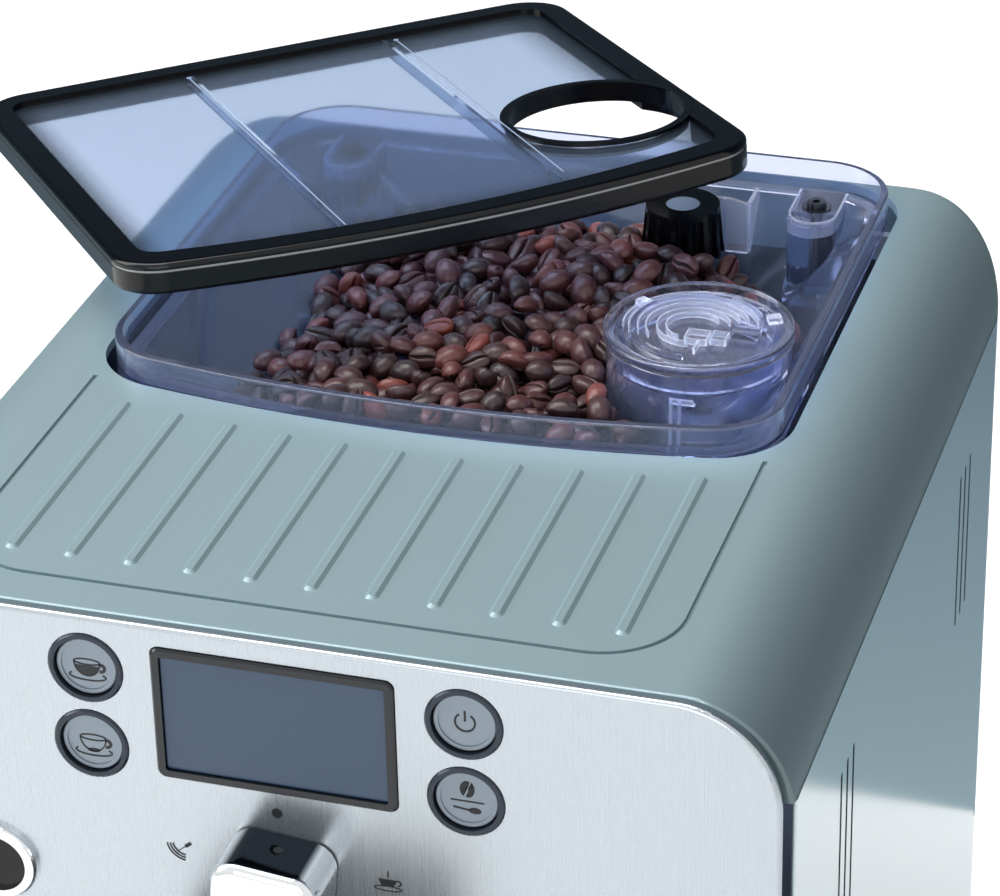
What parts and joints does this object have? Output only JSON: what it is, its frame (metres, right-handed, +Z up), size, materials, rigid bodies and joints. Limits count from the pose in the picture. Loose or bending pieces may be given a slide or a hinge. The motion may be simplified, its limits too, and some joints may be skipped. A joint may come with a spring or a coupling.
{
  "type": "bean to cup coffee machine",
  "caption": "Counter-top machine that grinds beans and brews coffee into cups, with display, selector, steam wand, side water tank and a loose hopper lid lying turned on its top.",
  "frame": {"origin": "on the counter plane, under the middle of the casing's plan", "axes": "+Z up, front towards -Y, +X to the right seen from the front"},
  "size_m": [0.3074, 0.4728, 0.3348],
  "materials": {
    "cover_paint": "satin",
    "side_steel": "satin",
    "brushed_front": "vertical brushed",
    "smoked_clear": "clear smoked",
    "tinted_clear": "clear tinted",
    "black_satin": "satin",
    "black_matte": "matte",
    "dark_matte": "matte",
    "pale_plastic": "satin",
    "bezel_gloss": "gloss",
    "screen_glass": "gloss",
    "board_green": "matte",
    "button_ring_chrome": "polished",
    "button_cap": "satin",
    "knob_chrome": "polished",
    "brass_part": "satin",
    "screw_steel": "dark",
    "foot_rubber": "matte",
    "frame_plastic": "matte",
    "cast_aluminium": "cast",
    "burr_steel": "ground",
    "hose_rubber": "translucent",
    "grate_steel": "satin",
    "float_red": "gloss"
  },
  "bodies": {
    "machine": {"badge_disc": "black_satin", "badge_ring": "knob_chrome", "base_chassis": "dark_matte", "boiler": "brass_part", "brew_bay": "frame_plastic", "brew_group": "black_matte", "button_rings": "button_ring_chrome", "control_board": "board_green", "dispenser_housing": "black_satin", "display_bezel": "bezel_gloss", "display_screen": "screen_glass", "fascia_backing": "black_matte", "flow_meter": "pale_plastic", "front_bulkhead": "frame_plastic", "front_fascia": "brushed_front", "grinder_housing": "cast_aluminium", "grinder_motor": "cast_aluminium", "grounds_chute": "black_matte", "hopper": "smoked_clear", "hopper_screws": "screw_steel", "left_side_panel": "side_steel", "lower_front_panel": "dark_matte", "machine_shelf": "frame_plastic", "power_inlet": "black_matte", "pump": "black_matte", "rear_bulkhead": "frame_plastic", "rear_cover": "black_matte", "rear_screws": "screw_steel", "right_side_panel": "side_steel", "rubber_feet": "foot_rubber", "selector_valve": "brass_part", "tank_valve": "black_matte", "top_cover": "cover_paint", "upper_burr": "burr_steel", "water_hoses": "hose_rubber"},
    "hopper_lid": {"lid_frame": "black_satin", "lid_trim": "pale_plastic", "lid_panel": "smoked_clear", "lid_hole_ring": "black_satin"},
    "doser_cap": {"doser_lid": "tinted_clear"},
    "grind_adjuster": {"grinder_knob": "black_satin", "knob_inlay": "pale_plastic"},
    "cup_full_key": {"button_cup_full": "button_cap"},
    "cup_half_key": {"button_cup_half": "button_cap"},
    "power_key": {"button_power": "button_cap"},
    "coffee_key": {"button_coffee": "button_cap"},
    "selector": {"selector_knob": "knob_chrome"},
    "tank": {"water_tank": "tinted_clear", "tank_lid": "dark_matte"},
    "door": {"service_door": "side_steel"},
    "drawer": {"grounds_drawer": "dark_matte"},
    "piston": {"brew_piston": "pale_plastic"},
    "tray": {"drip_tray": "dark_matte", "drip_grate": "grate_steel"},
    "float": {"tray_float": "float_red"},
    "spout": {"spout_carriage": "black_satin"},
    "wand": {"steam_pipe": "knob_chrome", "wand_sleeve": "black_satin"},
    "rocker": {"power_rocker": "black_satin"},
    "burr": {"lower_burr": "burr_steel"}
  },
  "joints": [
    {"name": "hopper_lid_lift", "type": "slide", "parent": "machine", "child": "hopper_lid", "axis": [0, 0, 1], "range_m": [0, 0.06]},
    {"name": "doser_lid_lift", "type": "slide", "parent": "machine", "child": "doser_cap", "axis": [0, 0, 1], "range_m": [0, 0.03]},
    {"name": "grind_adjust_turn", "type": "hinge", "parent": "machine", "child": "grind_adjuster", "pos_m": [0.0353, 0.10986, 0.306], "axis": [0, 0, 1], "range_deg": [-120, 120]},
    {"name": "cup_full_press", "type": "slide", "parent": "machine", "child": "cup_full_key", "axis": [0, 1, 0], "range_m": [0, 0.001], "stiffness_N_per_m": 800},
    {"name": "cup_half_press", "type": "slide", "parent": "machine", "child": "cup_half_key", "axis": [0, 1, 0], "range_m": [0, 0.001], "stiffness_N_per_m": 800},
    {"name": "power_press", "type": "slide", "parent": "machine", "child": "power_key", "axis": [0, 1, 0], "range_m": [0, 0.001], "stiffness_N_per_m": 800},
    {"name": "coffee_press", "type": "slide", "parent": "machine", "child": "coffee_key", "axis": [0, 1, 0], "range_m": [0, 0.001], "stiffness_N_per_m": 800},
    {"name": "selector_turn", "type": "hinge", "parent": "machine", "child": "selector", "pos_m": [0.0003, -0.1465, 0.2362], "axis": [0, 1, 0], "range_deg": [-60, 60]},
    {"name": "spout_height", "type": "slide", "parent": "machine", "child": "spout", "axis": [0, 0, -1], "range_m": [0, 0.035]},
    {"name": "wand_swivel", "type": "hinge", "parent": "machine", "child": "wand", "pos_m": [0.088, -0.1595, 0.16], "axis": [0, 0, 1], "range_deg": [-50, 50]},
    {"name": "tray_slide", "type": "slide", "parent": "machine", "child": "tray", "axis": [0, -1, 0], "range_m": [0, 0.15]},
    {"name": "float_rise", "type": "slide", "parent": "tray", "child": "float", "axis": [0, 0, 1], "range_m": [0, 0.008]},
    {"name": "tank_slide", "type": "slide", "parent": "machine", "child": "tank", "axis": [-1, 0, 0], "range_m": [0, 0.104]},
    {"name": "service_door_swing", "type": "hinge", "parent": "machine", "child": "door", "pos_m": [-0.1244, -0.0152, 0.135], "axis": [0, 0, -1], "range_deg": [0, 90]},
    {"name": "drawer_slide", "type": "slide", "parent": "machine", "child": "drawer", "axis": [0, -1, 0], "range_m": [0, 0.12]},
    {"name": "piston_stroke", "type": "slide", "parent": "machine", "child": "piston", "axis": [0, 0, 1], "range_m": [0, 0.022]},
    {"name": "power_rocker_tip", "type": "hinge", "parent": "machine", "child": "rocker", "pos_m": [-0.036, 0.1435, 0.05], "axis": [-1, 0, 0], "range_deg": [0, 14]},
    {"name": "burr_spin", "type": "hinge", "parent": "machine", "child": "burr", "pos_m": [0.02, 0.07, 0.221], "axis": [0, 0, 1], "continuous": true}
  ]
}
